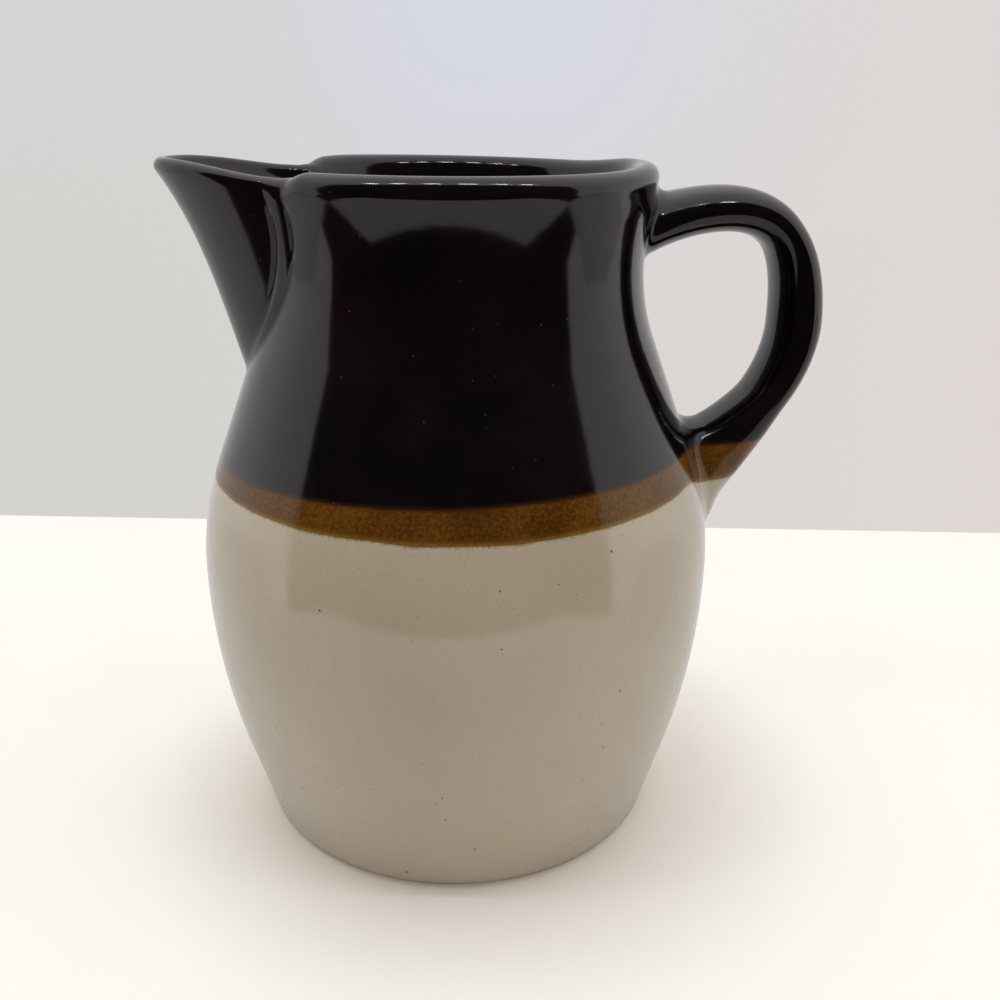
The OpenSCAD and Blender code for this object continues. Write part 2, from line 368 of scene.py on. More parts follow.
def lip_sizes(turn):
    """Radius of the rounded lip, and the height where the rounding starts on the outside."""
    def radius_at(angle, z):
        return skin_radius(angle, z, GLAZE_T)[0]

    rise, step = 1.0, 0.01
    start = np.full_like(turn, LIP_START_Z)
    radius, spout_part = skin_radius(turn, start, GLAZE_T)
    lip_r = LIP_NECK + (LIP_SPOUT - LIP_NECK) * spout_part
    slope = (radius_at(turn, start + rise) - radius_at(turn, start - rise)) / (2 * rise)
    around = (radius_at(turn + step, start) - radius_at(turn - step, start)) / (2 * step)
    lean = slope / np.sqrt(1 + (around / radius) ** 2 + slope ** 2)
    crest = lean + np.sqrt(lean ** 2 + 1 / (1 + slope ** 2))
    return lip_r, lip_height(turn) - lip_r * crest


def wall_depth(heights, spout_part, lip_r, top):
    """Depth of the glazed wall, which thins toward the lip."""
    full = WALL + (SPOUT_WALL - WALL) * spout_part + 2 * GLAZE_T
    return 2 * lip_r + (full - 2 * lip_r) * smooth_step(0, LIP_RUN, top - heights)


def round_lip(outer, normals, half, rise):
    """Rows over the lip: half an oval about a line set in from the top row."""
    n_top = normals[-1]
    up_top = outer[-1] - outer[-2]
    up_top = up_top - n_top * (up_top * n_top).sum(1, keepdims=True)
    up_top /= np.linalg.norm(up_top, axis=1, keepdims=True)
    middle = outer[-1] - n_top * half[:, None]
    return np.array([middle + half[:, None] * n_top * math.cos(a) + rise[:, None] * up_top * math.sin(a)
                     for a in np.linspace(0, math.pi, LIP_ROWS + 1)[1:]])


def thrown_inside(depth):
    """Radius and height of points down the inside, from the shoulder to the middle of the floor, so deep in
    the wall."""
    corner_in = BELLY_CURVE - WALL - FLOOR_CURVE
    corner_z = FLOOR_T + FLOOR_CURVE
    corner_r = BELLY_R - BELLY_CURVE + math.sqrt(corner_in ** 2 - (corner_z - BELLY_Z) ** 2)
    corner_a = math.atan2(corner_z - BELLY_Z, corner_r - BELLY_R + BELLY_CURVE)
    curve = FLOOR_CURVE + depth
    points = [(float(body_radius(z, -WALL + depth)), z)
              for z in np.linspace(INSIDE_Z, corner_z + curve * math.sin(corner_a), INSIDE_ROWS)]
    points += [(corner_r + curve * math.cos(a), corner_z + curve * math.sin(a))
               for a in np.linspace(corner_a, -math.pi / 2, CORNER_ROWS)[1:]]
    points += [(r, FLOOR_T - depth) for r in np.linspace(corner_r, HUB, FLOOR_ROWS)[1:]]
    return points


def make_skin():
    """Rows of points over the whole pitcher but the handle: up the outside, over the lip and down to the
    floor. Returns the rows, their normals, the angles of the columns, the first row of the band, the dark
    glaze and the liner, and the row at the crest of the lip."""
    turn = skin_turns()
    low, high = line_low(turn), line_high(turn)
    lip_r, top = lip_sizes(turn)
    heights = [GLAZE_FOOT + (low - GLAZE_FOOT) * s for s in np.linspace(0, 1, CREAM_ROWS) ** CREAM_CROWD]
    first_band = len(heights) - 1
    heights += [low + (high - low) * s for s in np.linspace(0, 1, BAND_ROWS)[1:]]
    first_dark = len(heights) - 1
    heights += [high + (top - high) * s for s in np.linspace(0, 1, DARK_ROWS)[1:]]
    heights = np.array(heights)
    edge = np.clip((heights - GLAZE_FOOT) / EDGE_H, 0, 1)
    off = EDGE_T + (GLAZE_T - EDGE_T) * np.sqrt(1 - (1 - edge) ** 2)
    radius, spout_part = skin_radius(turn[None, :], heights, off)
    outer = on_skin(turn[None, :], radius, heights)
    normals = grid_normals(outer)
    around = round_lip(outer, normals, lip_r, lip_r)

    # Inside, the wall keeps its depth down to the shoulder, then follows the thrown inside to the floor.
    deep = wall_depth(heights, spout_part, lip_r, top)
    inner = (outer - normals * deep[..., None])[first_dark:-1][::-1]
    inner_low = [on_skin(turn, np.full_like(turn, r), z) for r, z in thrown_inside(-GLAZE_T)]

    rows = np.concatenate([outer, around, inner, inner_low])
    crest = len(outer) + LIP_ROWS // 2
    inside_from = len(outer) + len(around)
    inside_z = rows[inside_from:, SKIN_COLUMNS // 8, 2]
    first_liner = inside_from + int(np.argmax(inside_z < BODY_H - LIP_INSIDE))
    return rows, grid_normals(rows), turn, (first_band, first_dark, first_liner), crest


def shell(rows, normals, depth, closed_end=False):
    """A thin closed coat with these rows as its face, so deep, with an edge strip at both ends or a closed
    far end."""
    count, columns = rows.shape[:2]
    back = rows - normals * depth
    points = [rows.reshape(-1, 3), back.reshape(-1, 3)]
    faces = []
    for layer in (0, count * columns):
        for i in range(count - 1):
            for j in range(columns):
                k = (j + 1) % columns
                a, b = layer + i * columns + j, layer + (i + 1) * columns + j
                c, d = layer + (i + 1) * columns + k, layer + i * columns + k
                faces.append((a, b, c, d) if layer == 0 else (d, c, b, a))
    layer = count * columns
    for j in range(columns):
        k = (j + 1) % columns
        faces.append((k, layer + k, layer + j, j))
        last = (count - 1) * columns
        if closed_end:
            centre = 2 * layer
            faces.append((last + j, centre, last + k))
            faces.append((layer + last + k, centre + 1, layer + last + j))
        else:
            faces.append((last + j, layer + last + j, layer + last + k, last + k))
    if closed_end:
        points.append([rows[-1].mean(0), back[-1].mean(0)])
    return np.concatenate(points), faces


def curve_points(p, t):
    """Points and directions along a cubic curve with these four poles."""
    p = np.array(p, float)
    t = t[:, None]
    point = (1 - t) ** 3 * p[0] + 3 * t * (1 - t) ** 2 * p[1] + 3 * t * t * (1 - t) * p[2] + t ** 3 * p[3]
    way = (1 - t) ** 2 * (p[1] - p[0]) + 2 * t * (1 - t) * (p[2] - p[1]) + t * t * (p[3] - p[2])
    return point, way / np.linalg.norm(way, axis=1, keepdims=True)


def eased(table, s):
    """A table of sizes along the handle with its corners eased."""
    fine = np.linspace(-0.1, 1.1, 1201)
    values = np.interp(fine, *table)
    window = np.hanning(2 * EASE + 1)
    values = np.convolve(np.pad(values, EASE, mode="edge"), window / window.sum(), mode="valid")
    return np.interp(s, fine, values)


def tube(rings):
    """A closed body skinned over rings of points, with a fan of faces over each end."""
    count, sides = rings.shape[:2]
    points = np.concatenate([rings.reshape(-1, 3), [rings[0].mean(0), rings[-1].mean(0)]])
    start, end, last = count * sides, count * sides + 1, (count - 1) * sides
    faces = []
    for j in range(sides):
        k = (j + 1) % sides
        faces += [(i + j, i + k, i + sides + k, i + sides + j) for i in range(0, last, sides)]
        faces += [(start, k, j), (end, last + j, last + k)]
    return points, faces


def clay_wall(turn, low, top, lip_rise, count):
    """Rows of the clay under the glaze, from one height to another, over the lip and down inside again."""
    lip_r, lip_top = lip_sizes(turn)
    heights = low + (top - low) * np.linspace(0, 1, count)[:, None]
    radius, spout_part = skin_radius(turn[None, :], heights, GLAZE_T - COAT - UNDER_NECK)
    outer = on_skin(turn[None, :], radius, heights)
    normals = grid_normals(outer, closed=len(turn) == SKIN_COLUMNS)
    deep = wall_depth(heights, spout_part, lip_r, lip_top) - 2 * (COAT + UNDER_NECK)
    around = round_lip(outer, normals, deep[-1] / 2, lip_rise)
    inner = outer - normals * deep[..., None]
    return np.concatenate([outer, around[:-1], inner[::-1]])


def seam_height(turn):
    return np.interp(np.degrees(np.abs(turn)), *SEAM_AT)


def make_spout_clay():
    """The clay of the spout, inside its glaze, from the seam up to the lip."""
    turn = np.linspace(-SPOUT_CUT, SPOUT_CUT, CLAY_SPOUT_COLUMNS)
    lip_r, top = lip_sizes(turn)
    loops = clay_wall(turn, seam_height(turn), top, lip_r - COAT - UNDER_NECK, CLAY_SPOUT_ROWS)
    return tube(loops.transpose(1, 0, 2)[::-1])


def make_body_clay():
    """The thrown clay under the glaze: foot, wall, rim and floor, cut out where the spout is let in."""
    turn = skin_turns()
    lip_r, top = lip_sizes(turn)
    cut_out = np.abs(turn) <= SPOUT_CUT
    top = np.where(cut_out, seam_height(turn), top)
    rise = np.where(cut_out, CUT_RISE, lip_r - COAT - UNDER_NECK)
    ring_in = FOOT_R - FOOT_W
    ring_out = float(body_radius(FOOT_BEVEL)) - FOOT_UNDERCUT
    under = [(r, FOOT_HOLLOW) for r in np.linspace(HUB, ring_in - FOOT_BEVEL, CLAY_FOOT_ROWS)]
    under += [(ring_in, 0.0), (ring_in + RING_EDGE, 0.0), (ring_out - RING_EDGE, 0.0), (ring_out, 0.0)]
    under_glaze = GLAZE_T - COAT - UNDER
    low_wall = np.linspace(FOOT_BEVEL, CLAY_WALL_Z - 3, CLAY_LOW_ROWS)
    under += [(float(body_radius(z, under_glaze)), z) for z in low_wall]
    rows = [on_skin(turn, np.full_like(turn, r), z) for r, z in under]
    rows += list(clay_wall(turn, CLAY_WALL_Z, top, rise, CLAY_HIGH_ROWS))
    rows += [on_skin(turn, np.full_like(turn, r), z) for r, z in thrown_inside(-under_glaze)]
    return tube(np.array(rows)[::-1])


# The middle line of the handle is two curves that meet at its outermost point, each with four poles.
TAIL_X = float(body_radius(HANDLE_TAIL_Z)) - 12
HANDLE_UPPER = [(NECK_R - 4, HANDLE_ROOT_Z), (NECK_R + 27, HANDLE_CROWN_Z),
                (HANDLE_X, HANDLE_CROWN_Z), (HANDLE_X, HANDLE_OUT_Z)]
HANDLE_LOWER = [(HANDLE_X, HANDLE_OUT_Z), (HANDLE_X, HANDLE_OUT_Z - 22.8),
                (TAIL_X + 18, HANDLE_TAIL_Z + 12.1), (TAIL_X, HANDLE_TAIL_Z)]


def handle_at(s, a):
    """Points on the glazed handle, s of the way from its root to its tail and at angle a round it."""
    first, first_way = curve_points(HANDLE_UPPER, np.clip(2 * s, 0, 1))
    second, second_way = curve_points(HANDLE_LOWER, np.clip(2 * s - 1, 0, 1))
    late = (s >= 0.5)[:, None]
    spine = np.where(late, second, first)
    way = np.where(late, second_way, first_way)
    up = (eased(HANDLE_THICK, s) / 2 + GLAZE_T) * np.cos(a)
    side = (eased(HANDLE_WIDE, s) / 2 + GLAZE_T) * np.sign(np.sin(a)) * np.abs(np.sin(a)) ** HANDLE_SQUARE
    return np.stack([spine[:, 0] - way[:, 1] * up, side, spine[:, 1] + way[:, 0] * up], axis=1)


def face_radius(points):
    """Radius of the body's glazed face at the height and on the side of each point."""
    return drawn_radius(np.arctan2(points[:, 1], -points[:, 0]), points[:, 2], GLAZE_T)


def over_body(points):
    return np.hypot(points[:, 0], points[:, 1]) - face_radius(points)


def on_body(points, deep=0.0):
    """The same points moved straight in or out to the body's glazed face, or so deep under it."""
    pull = (face_radius(points) - deep) / np.hypot(points[:, 0], points[:, 1])
    return points * np.stack([pull, pull, np.ones_like(pull)], axis=1)


def handle_end(a, inside, outside, fillets):
    """The fillet at one end of the handle, in rows from the body outward, and where it stops. Inside and
    outside are places along the handle on either side of the body's face."""
    outer, flank, hole = fillets
    fillet = np.where(np.cos(a) > 0, outer - flank, hole - flank) * np.cos(a) ** 2 + flank
    low = np.full_like(a, inside)
    high = np.full_like(a, outside)
    for _ in range(HALVINGS):
        middle = (low + high) / 2
        under = over_body(handle_at(middle, a)) < 0
        low = np.where(under, middle, low)
        high = np.where(under, high, middle)
    corner = handle_at(low, a)
    step = 0.002 * np.sign(outside - inside)
    speed = np.linalg.norm(handle_at(low + step, a) - corner, axis=1) / step
    stop = low + fillet / speed
    start = handle_at(stop, a)
    along = np.roll(corner, -1, axis=0) - np.roll(corner, 1, axis=0)
    radial = np.hypot(corner[:, 0], corner[:, 1])
    lift = np.array([0, 0, 0.1])
    slope = (face_radius(corner + lift) - face_radius(corner - lift)) / (2 * lift[2])
    face = np.stack([corner[:, 0] / radial, corner[:, 1] / radial, -slope], axis=1)
    away = np.cross(along, face)
    away /= np.linalg.norm(away, axis=1, keepdims=True)
    away *= np.sign(((corner - corner.mean(0)) * away).sum(1, keepdims=True))
    foot = on_body(corner + fillet[:, None] * away)
    pull = corner * FILLET_PULL + (foot + start) / 2 * (1 - FILLET_PULL)
    rows = [(1 - t) ** 2 * foot + 2 * t * (1 - t) * pull + t * t * start
            for t in np.linspace(0, 1, FILLET_ROWS)]
    return [on_body(foot, SUNK)] + rows, stop


def make_handle():
    """Rings of the pulled handle: an oval swept from the neck to the belly, with a fillet where it meets the
    body."""
    a = np.linspace(0, 2 * math.pi, HANDLE_SIDES, endpoint=False)
    root, root_stop = handle_end(a, inside=0.0, outside=0.25, fillets=ROOT_FILLET)
    tail, tail_stop = handle_end(a, inside=1.0, outside=0.6, fillets=TAIL_FILLET)
    shares = np.linspace(0, 1, HANDLE_RINGS)[1:-1]
    bar = [handle_at(root_stop + (tail_stop - root_stop) * k, a) for k in shares]
    return np.array(root + bar + tail[::-1])


def bend(mesh, height_at, way):
    """Shifts a mesh up (way 1) or down (way -1) by a dip line's height less its height at the handle."""
    points = np.array([v.co for v in mesh.verts])
    shift = height_at(np.arctan2(points[:, 1], -points[:, 0])) - height_at(math.pi)
    for v, rise in zip(mesh.verts, way * shift):
        v.co.z += rise


def between_lines(points, faces, below=None, above=None):
    """The part of the handle over one dip line and under another, closed where it is cut. A line has its
    height round the pitcher, as a function, and its rise for each millimetre out."""
    mesh = bmesh.new()
    made = [mesh.verts.new(p) for p in points]
    for f in faces:
        mesh.faces.new([made[i] for i in f])
    for line, keep_over in ((below, True), (above, False)):
        if line is None:
            continue
        height_at, rise = line
        height = float(height_at(math.pi))
        at = Vector((float(body_radius(height)), 0, height))
        bend(mesh, height_at, -1)
        up = Vector((-rise, 0, 1)).normalized()
        cut = bmesh.ops.bisect_plane(mesh, geom=mesh.verts[:] + mesh.edges[:] + mesh.faces[:], plane_co=at,
                                     plane_no=up, clear_inner=keep_over, clear_outer=not keep_over)
        edges = [e for e in cut["geom_cut"] if isinstance(e, bmesh.types.BMEdge)]
        bmesh.ops.edgenet_fill(mesh, edges=edges)
        bend(mesh, height_at, 1)
    bmesh.ops.recalc_face_normals(mesh, faces=mesh.faces[:])
    mesh.verts.index_update()
    out = (np.array([v.co for v in mesh.verts]), [tuple(v.index for v in f.verts) for f in mesh.faces])
    mesh.free()
    return out


def together(*bodies):
    """One list of points and faces from several."""
    points, faces, start = [], [], 0
    for p, f in bodies:
        points.append(p)
        faces += [tuple(i + start for i in one) for one in f]
        start += len(p)
    return np.concatenate(points), faces


class Value:
    """A number that varies over a surface. Sums, products and the like add Math nodes."""

    def __init__(self, graph, socket):
        self.graph = graph
        self.socket = socket

    def maths(self, operation, a, b=0.0):
        return self.graph.add("ShaderNodeMath", {"operation": operation}, {0: a, 1: b})

    def __add__(self, other):
        return self.maths("ADD", self, other)

    def __radd__(self, other):
        return self.maths("ADD", other, self)

    def __sub__(self, other):
        return self.maths("SUBTRACT", self, other)

    def __rsub__(self, other):
        return self.maths("SUBTRACT", other, self)

    def __mul__(self, other):
        return self.maths("MULTIPLY", self, other)

    def __rmul__(self, other):
        return self.maths("MULTIPLY", other, self)

    def __truediv__(self, other):
        return self.maths("DIVIDE", self, other)

    def __rtruediv__(self, other):
        return self.maths("DIVIDE", other, self)

    def __neg__(self):
        return self.maths("MULTIPLY", self, -1.0)

    def __abs__(self):
        return self.maths("ABSOLUTE", self)

    def __lt__(self, other):
        return self.maths("LESS_THAN", self, other)


class Graph:
    """The nodes of one material or of the world."""

    def __init__(self, tree):
        self.tree = tree
        tree.nodes.clear()

    def add(self, kind, settings=None, inputs=None, output=0):
        """Adds a node with these settings and these values or links on its sockets, and gives an output."""
        node = self.tree.nodes.new(kind)
        for name, value in (settings or {}).items():
            setattr(node, name, value)
        for name, value in (inputs or {}).items():
            if isinstance(value, Value):
                self.tree.links.new(value.socket, node.inputs[name])
            else:
                node.inputs[name].default_value = value
        return Value(self, node.outputs[output]) if node.outputs else None

    def place(self):
        """Position on the piece, in metres."""
        return self.add("ShaderNodeTexCoord", output="Object")

    def along(self, axis, vector=None):
        """One coordinate of a vector, or of the position."""
        return self.add("ShaderNodeSeparateXYZ", inputs={"Vector": vector or self.place()}, output=axis)

    def attribute(self, name):
        return self.add("ShaderNodeAttribute", {"attribute_name": name}, output="Fac")

    def noise(self, scale, detail=2.0, rough=0.5):
        inputs = {"Vector": self.place(), "Scale": scale, "Detail": detail, "Roughness": rough}
        return self.add("ShaderNodeTexNoise", inputs=inputs)

    def fade(self, value, low, high, start=0.0, end=1.0):
        """Goes smoothly from start to end as the value goes from low to high."""
        return self.add("ShaderNodeMapRange", {"interpolation_type": "SMOOTHSTEP"},
                        {"Value": value, "From Min": low, "From Max": high, "To Min": start, "To Max": end})

    def blend(self, share, first, second):
        """A colour between two, all of the first at 0 and all of the second at 1."""
        colours = {6: first, 7: second}
        inputs = {i: c if isinstance(c, Value) else (*c, 1.0) for i, c in colours.items()}
        return self.add("ShaderNodeMix", {"data_type": "RGBA"}, {0: share, **inputs}, output=2)

    def specks(self, scale, size, share):
        """Round specks in a given share of cells: 1 on a speck, 0 off it. Size is a part of a cell."""
        cell = {"Vector": self.place(), "Scale": scale}
        near = self.add("ShaderNodeTexVoronoi", inputs=cell, output="Distance")
        tint = self.add("ShaderNodeTexVoronoi", inputs=cell, output="Color")
        chance = self.add("ShaderNodeSeparateColor", inputs={"Color": tint}, output="Red")
        spread = self.add("ShaderNodeSeparateColor", inputs={"Color": tint}, output="Green")
        return self.fade(near / (size * (0.4 + spread)), 0.75, 1.0, 1.0, 0.0) * (chance < share)

    def bump(self, height, strength, distance):
        inputs = {"Height": height, "Strength": strength, "Distance": distance}
        return self.add("ShaderNodeBump", inputs=inputs)


def finish(name, make, **fixed):
    """A material: make fills in the sockets that vary, and fixed sets those that are the same all over."""
    material = bpy.data.materials.new(name)
    material.use_nodes = True
    graph = Graph(material.node_tree)
    inputs = dict(make(graph))
    inputs.update(fixed)
    shader = graph.add("ShaderNodeBsdfPrincipled", inputs=inputs)
    graph.add("ShaderNodeOutputMaterial", inputs={"Surface": shader})
    return material


# Colours of the glazes and the clay.
DARK = (0.0028, 0.0016, 0.0021)
DARK_RED = (0.0085, 0.0036, 0.0034)
DARK_EDGE = (0.05, 0.018, 0.006)
DARK_THIN = (0.075, 0.028, 0.013)
DARK_PINHOLE_GLINT = (0.10, 0.10, 0.105)
BAND = (0.082, 0.027, 0.003)
BAND_LIGHT = (0.20, 0.078, 0.009)
BAND_TAIL = (0.34, 0.145, 0.014)
BAND_FRINGE = (0.29, 0.165, 0.024)
BAND_TOP = (0.045, 0.015, 0.004)
CREAM = (0.58, 0.487, 0.343)
CREAM_LIGHT = (0.644, 0.547, 0.396)
CREAM_WARM = (0.614, 0.487, 0.338)
CREAM_GRAIN = (0.43, 0.36, 0.26)
CREAM_FRECKLE = (0.30, 0.22, 0.14)
CREAM_PINHOLE_GLINT = (0.70, 0.66, 0.58)
CREAM_IRON = (0.05, 0.03, 0.02)
CREAM_STAIN = (0.30, 0.195, 0.05)
LINER = (0.0035, 0.002, 0.0024)
LINER_RED = (0.010, 0.0045, 0.004)
LINER_SPECK = (0.09, 0.085, 0.085)
CLAY = (0.50, 0.38, 0.27)
CLAY_LIGHT = (0.64, 0.52, 0.40)
CLAY_GRAIN = (0.42, 0.31, 0.21)
CLAY_SPECK = (0.14, 0.08, 0.05)

# Sockets that are the same all over a glaze, the depth of the bumps in metres, and how far out along X the
# band brightens on the tail of the handle.
CREAM_GLOSS = {"Coat Weight": 0.6, "Coat Roughness": 0.12}
BAND_SHEEN = {"Specular Tint": (1.0, 0.87, 0.6, 1.0)}
GLAZE_BUMP = 0.0002
CLAY_BUMP = 0.0003
BAND_TAIL_X = (0.072, 0.086)


def dark_finish(g):
    """Near-black brown glaze, breaking to red-brown where it runs thin, with painted glints on its pinholes.
    """
    grain = g.noise(900, 2)
    pinhole_and_glint = g.specks(330, 0.07, 0.4)
    thin = g.fade(g.attribute("thin") + 0.5 * (g.noise(160, 3) - 0.5), 0.35, 1.0)
    colour = g.blend(g.fade(g.noise(45, 3), 0.35, 0.7), DARK, DARK_RED)
    colour = g.blend(g.fade(g.attribute("over_high"), 0.0, 1.1, 0.75, 0.0), colour, DARK_EDGE)
    colour = g.blend(thin, colour, DARK_THIN)
    # The pinholes are real dents, and their light grey-blue colour is a painted highlight.
    colour = g.blend(0.6 * pinhole_and_glint, colour, DARK_PINHOLE_GLINT)
    unevenness = 0.8 * g.noise(70, 2) + 0.05 * grain + 0.25 * pinhole_and_glint
    return {"Base Color": colour, "Roughness": 0.05 + 0.06 * g.noise(25, 2) + 0.04 * grain,
            "Normal": g.bump(unevenness, 0.35, GLAZE_BUMP)}


def band_finish(g):
    """Amber-brown glaze, grainy, with a golden fuzzy lower edge, and brighter on the tail of the handle."""
    grain = g.noise(1100, 3, 0.7)
    patch = g.noise(60, 3)
    colour = g.blend(g.fade(0.6 * grain + 0.4 * patch, 0.38, 0.66), BAND, BAND_LIGHT)
    tail = g.fade(g.along("X"), *BAND_TAIL_X, 0.0, 0.55)
    colour = g.blend(tail * g.fade(patch, 0.25, 0.6), colour, BAND_TAIL)
    fringe = g.attribute("over_low") + 3.2 * (grain - 0.5)
    colour = g.blend(g.fade(fringe, 0.0, 1.4, 0.75, 0.0), colour, BAND_FRINGE)
    under = g.attribute("over_high") + 0.6 * (grain - 0.5)
    colour = g.blend(g.fade(under, -0.7, 0.05, 0.0, 0.7), colour, BAND_TOP)
    return {"Base Color": colour, "Roughness": 0.08 + 0.08 * grain,
            "Normal": g.bump(0.3 * grain + 0.7 * g.noise(80, 2), 0.3, GLAZE_BUMP)}


def cream_finish(g):
    """Warm cream glaze with soft clouding, fine grain, iron specks and a few pinholes with painted glints."""
    grain = g.noise(1300, 2)
    iron = g.specks(200, 0.07, 0.35)
    freckle = g.specks(240, 0.075, 0.5)
    pit_and_glint = g.specks(130, 0.045, 0.8)
    colour = g.blend(g.fade(g.noise(16, 3), 0.3, 0.7), CREAM, CREAM_LIGHT)
    colour = g.blend(0.35 * g.fade(g.noise(38, 3), 0.35, 0.75), colour, CREAM_WARM)
    colour = g.blend(0.2 * g.fade(grain, 0.45, 0.7), colour, CREAM_GRAIN)
    colour = g.blend(0.4 * freckle, colour, CREAM_FRECKLE)
    # The pinholes are real dents, and their lighter colour is a painted highlight.
    colour = g.blend(0.35 * pit_and_glint, colour, CREAM_PINHOLE_GLINT)
    colour = g.blend(0.85 * iron, colour, CREAM_IRON)
    stain = g.attribute("over_low") + 1.6 * (grain - 0.5)
    colour = g.blend(g.fade(stain, -0.7, 0.2, 0.0, 0.85), colour, CREAM_STAIN)
    unevenness = 0.8 * g.noise(60, 2) + 0.05 * grain - 0.4 * pit_and_glint - 0.4 * iron
    return {"Base Color": colour, "Roughness": 0.10 + 0.07 * g.noise(30, 2) + 0.2 * iron,
            "Normal": g.bump(unevenness, 0.3, GLAZE_BUMP)}


def liner_finish(g):
    """The dark glaze poured inside, a little browner and more uneven than the dip."""
    colour = g.blend(g.fade(g.noise(35, 3), 0.35, 0.7), LINER, LINER_RED)
    colour = g.blend(0.5 * g.specks(300, 0.07, 0.35), colour, LINER_SPECK)
    return {"Base Color": colour, "Roughness": 0.06 + 0.07 * g.noise(25, 2),
            "Normal": g.bump(g.noise(55, 2), 0.35, GLAZE_BUMP)}


def clay_finish(g):
    """Bare fired stoneware: buff, sandy, with the rings left by trimming under the foot."""
    grain = g.noise(1500, 4, 0.7)
    colour = g.blend(g.fade(g.noise(30, 3), 0.3, 0.7), CLAY, CLAY_LIGHT)
    colour = g.blend(0.4 * g.fade(grain, 0.4, 0.7), colour, CLAY_GRAIN)
    colour = g.blend(0.8 * g.specks(420, 0.1, 0.25), colour, CLAY_SPECK)
    rings = g.add("ShaderNodeTexWave", {"wave_type": "RINGS", "rings_direction": "Z"},
                  {"Vector": g.place(), "Scale": 120.0, "Distortion": 1.5, "Detail": 1.0,
                   "Detail Scale": 0.5}, output="Fac")
    return {"Base Color": colour, "Roughness": 0.75 + 0.2 * grain,
            "Normal": g.bump(0.5 * rings + 0.5 * grain, 0.5, CLAY_BUMP)}


def piece(name, body, material, nodes, thin=None):
    """Makes a piece of the pitcher from points in millimetres, and hides the CAD nodes whose place it takes.
    """
    points, faces = body
    mesh = bpy.data.meshes.new(name)
    mesh.from_pydata((points * MM).tolist(), [], faces)
    mesh.validate()
    turn = np.arctan2(points[:, 1], -points[:, 0])
    out = np.maximum(over_body(points), 0)
    marks = {"over_low": points[:, 2] - line_low(turn) - TAIL_RISE_LOW * out,
             "over_high": points[:, 2] - line_high(turn) - TAIL_RISE_HIGH * out,
             "thin": np.zeros(len(points)) if thin is None else thin}
    for mark, values in marks.items():
        mesh.attributes.new(mark, "FLOAT", "POINT").data.foreach_set("value", np.asarray(values, np.float32))
    mesh.shade_smooth()
    mesh.set_sharp_from_angle(angle=SHARP)
    mesh.materials.append(material)
    made = bpy.data.objects.new(name, mesh)
    bpy.context.scene.collection.objects.link(made)
    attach(made, "root")
    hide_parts(*nodes)
    return made


rows, normals, turn, (first_band, first_dark, first_liner), crest_row = make_skin()
cream_coat = shell(rows[:first_band + 1], normals[:first_band + 1], COAT)
band_coat = shell(rows[first_band:first_dark + 1], normals[first_band:first_dark + 1], COAT)
dark_coat = shell(rows[first_dark:first_liner + 1], normals[first_dark:first_liner + 1], COAT)
liner_coat = shell(rows[first_liner:], normals[first_liner:], COAT, closed_end=True)

handle_rings = make_handle()
handle = tube(handle_rings)
low_line = (line_low, TAIL_RISE_LOW)
high_line = (line_high, TAIL_RISE_HIGH)
cream_tail = between_lines(*handle, above=low_line)
band_tail = between_lines(*handle, below=low_line, above=high_line)
dark_handle = between_lines(*handle, below=high_line)

# The glaze is thin over the lip, a few rows wide just outside its crest, and most of all by the seams.
THIN_OUTSIDE = 2
THIN_ROWS = 3.5
THIN_LIP = 0.30
THIN_SEAM = 0.55
THIN_SEAM_AT = 32
THIN_SEAM_WIDE = 9
row_number = np.arange(first_dark, first_liner + 1)[:, None]
by_seam = bell(np.abs(turn) - math.radians(THIN_SEAM_AT), THIN_SEAM_WIDE)[None, :]
over_lip = np.exp(-((row_number - crest_row + THIN_OUTSIDE) / THIN_ROWS) ** 2)
thin = (over_lip * (THIN_LIP + THIN_SEAM * by_seam)).ravel()
thin = np.concatenate([thin, thin, np.zeros(len(dark_handle[0]))])

cream = finish("cream_glaze", cream_finish, **CREAM_GLOSS)
band = finish("band_glaze", band_finish, **BAND_SHEEN)
dark = finish("dark_glaze", dark_finish)
liner = finish("liner_glaze", liner_finish)
clay = finish("bare_clay", clay_finish)
handle_clay = tube(handle_rings - (COAT + UNDER) * grid_normals(handle_rings))
piece("cream_dip", together(cream_coat, cream_tail), cream, ["cream_glaze"])
piece("brown_stripe", together(band_coat, band_tail), band, ["brown_band"])
piece("dark_dip", together(dark_coat, dark_handle), dark, ["dark_glaze", "spout_glaze"], thin)
piece("dark_lining", liner_coat, liner, ["liner_glaze"])
piece("body_clay", make_body_clay(), clay, ["body"])
piece("spout_clay", make_spout_clay(), clay, ["spout"])
piece("handle_clay", handle_clay, clay, ["handle"])

# The table, in metres: pale and level, with its far edge behind the pitcher, and turned with the room. Its
# glow for the camera is weaker close to the foot, a painted shadow of the pitcher.
BOX_TURN = math.radians(-7.7)
TABLE_BACK = 0.235
TABLE_FRONT = -0.32
TABLE_HALF = 1.2
FLAP_BACK = -0.115
FLAP_HALF = 0.30
TABLE = (0.80, 0.785, 0.76)
TABLE_LIGHT = (0.83, 0.815, 0.79)
TABLE_GLOW = (0.30, 0.295, 0.24)
SHADE_GLOW = (0.16, 0.13, 0.095)
SHADE_MIDDLE = (0.010, 0.0, 0.0)
SHADE_REACH = (0.065, 0.125)


